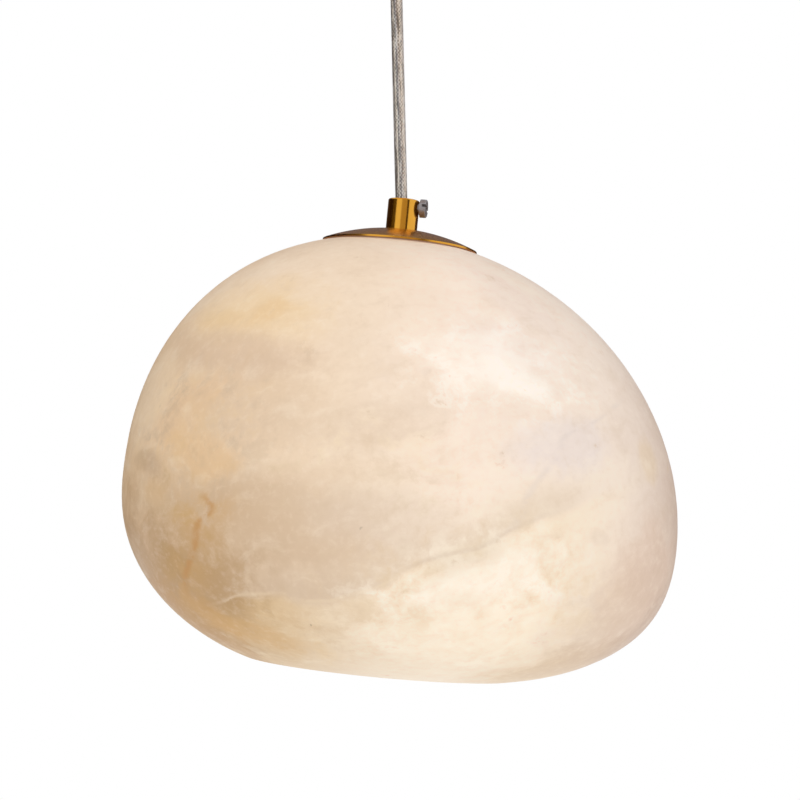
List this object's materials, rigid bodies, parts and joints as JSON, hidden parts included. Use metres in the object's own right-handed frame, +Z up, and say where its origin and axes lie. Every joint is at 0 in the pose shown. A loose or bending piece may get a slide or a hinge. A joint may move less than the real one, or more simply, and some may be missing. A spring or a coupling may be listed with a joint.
{
  "type": "alabaster pendant light",
  "caption": "Pendant light with a hollow pebble-shaped alabaster shade, brass cap and cord grip, clear braided cord and a brass ceiling canopy.",
  "frame": {"origin": "on the ceiling plane, at the middle of the canopy and its bracket", "axes": "+Z up out of the ceiling face, +X to the viewer's right along the bracket, +Y away from the viewer"},
  "size_m": [0.2267, 0.206, 0.3317],
  "materials": {
    "brass": "polished and lacquered",
    "zinc": "bright zinc plate",
    "steel": "zinc-plated pressed steel",
    "alabaster": "honed, warm white with ochre veins",
    "clear_cord": "clear sheath over a tinned braid",
    "silicone": "soft, translucent",
    "ceramic": "unglazed steatite",
    "contact_brass": "tinned spring brass",
    "lead_insulation": "coloured insulation",
    "block_plastic": "moulded polyamide",
    "bulb_plastic": "moulded, white",
    "opal": "opal diffuser",
    "led_board": "white board with yellow chips"
  },
  "bodies": {
    "ceiling_fitting": {"ceiling_canopy": "brass", "canopy_bracket": "steel", "canopy_studs": "steel", "canopy_ball_nuts": "brass", "canopy_nipple": "steel", "canopy_washer": "steel", "canopy_nut": "steel", "canopy_cord_grip": "brass", "cord_upper_end": "clear_cord", "canopy_leads": "lead_insulation", "terminal_block": "block_plastic", "terminal_screws": "contact_brass", "terminal_fixing_screw": "zinc", "earth_screw": "zinc"},
    "canopy_clamp_screw": {"canopy_clamp_screw": "zinc"},
    "hanging_cord": {"cord": "clear_cord"},
    "lamp_head": {"cord_grip": "brass", "top_cap": "brass", "cap_gasket": "silicone", "alabaster_shade": "alabaster", "threaded_tube": "steel", "retaining_bar": "steel", "bar_pads": "silicone", "bar_washer": "steel", "bar_nut": "steel", "cord_lower_end": "clear_cord", "lamp_leads": "lead_insulation", "holder_cup": "steel", "holder_core": "ceramic", "holder_contacts": "contact_brass", "holder_screws": "zinc"},
    "clamp_screw": {"clamp_screw": "zinc"},
    "bulb": {"bulb_base": "bulb_plastic", "bulb_pins": "contact_brass", "bulb_diffuser": "opal", "bulb_led_core": "led_board"}
  },
  "joints": [
    {"name": "cord_swing", "type": "hinge", "parent": "ceiling_fitting", "child": "hanging_cord", "pos_m": [-0.00115, 0, -0.0379], "axis": [0, 1, 0], "range_deg": [-25, 25]},
    {"name": "head_nod", "type": "hinge", "parent": "hanging_cord", "child": "lamp_head", "pos_m": [0.0012, 0, -0.13387], "axis": [1, 0, 0], "range_deg": [-15, 15]},
    {"name": "clamp_screw_turn", "type": "hinge", "parent": "lamp_head", "child": "clamp_screw", "pos_m": [0.00205, 0, -0.13707], "axis": [0.9804, -0.1736, -0.0927], "range_deg": [0, 1080]},
    {"name": "canopy_screw_turn", "type": "hinge", "parent": "ceiling_fitting", "child": "canopy_clamp_screw", "pos_m": [0, 0, -0.0348], "axis": [0.9848, 0.1736, 0], "range_deg": [0, 1080]},
    {"name": "bulb_pull", "type": "slide", "parent": "lamp_head", "child": "bulb", "axis": [-0.0941, 0, -0.9956], "range_m": [0, 0.025]}
  ]
}
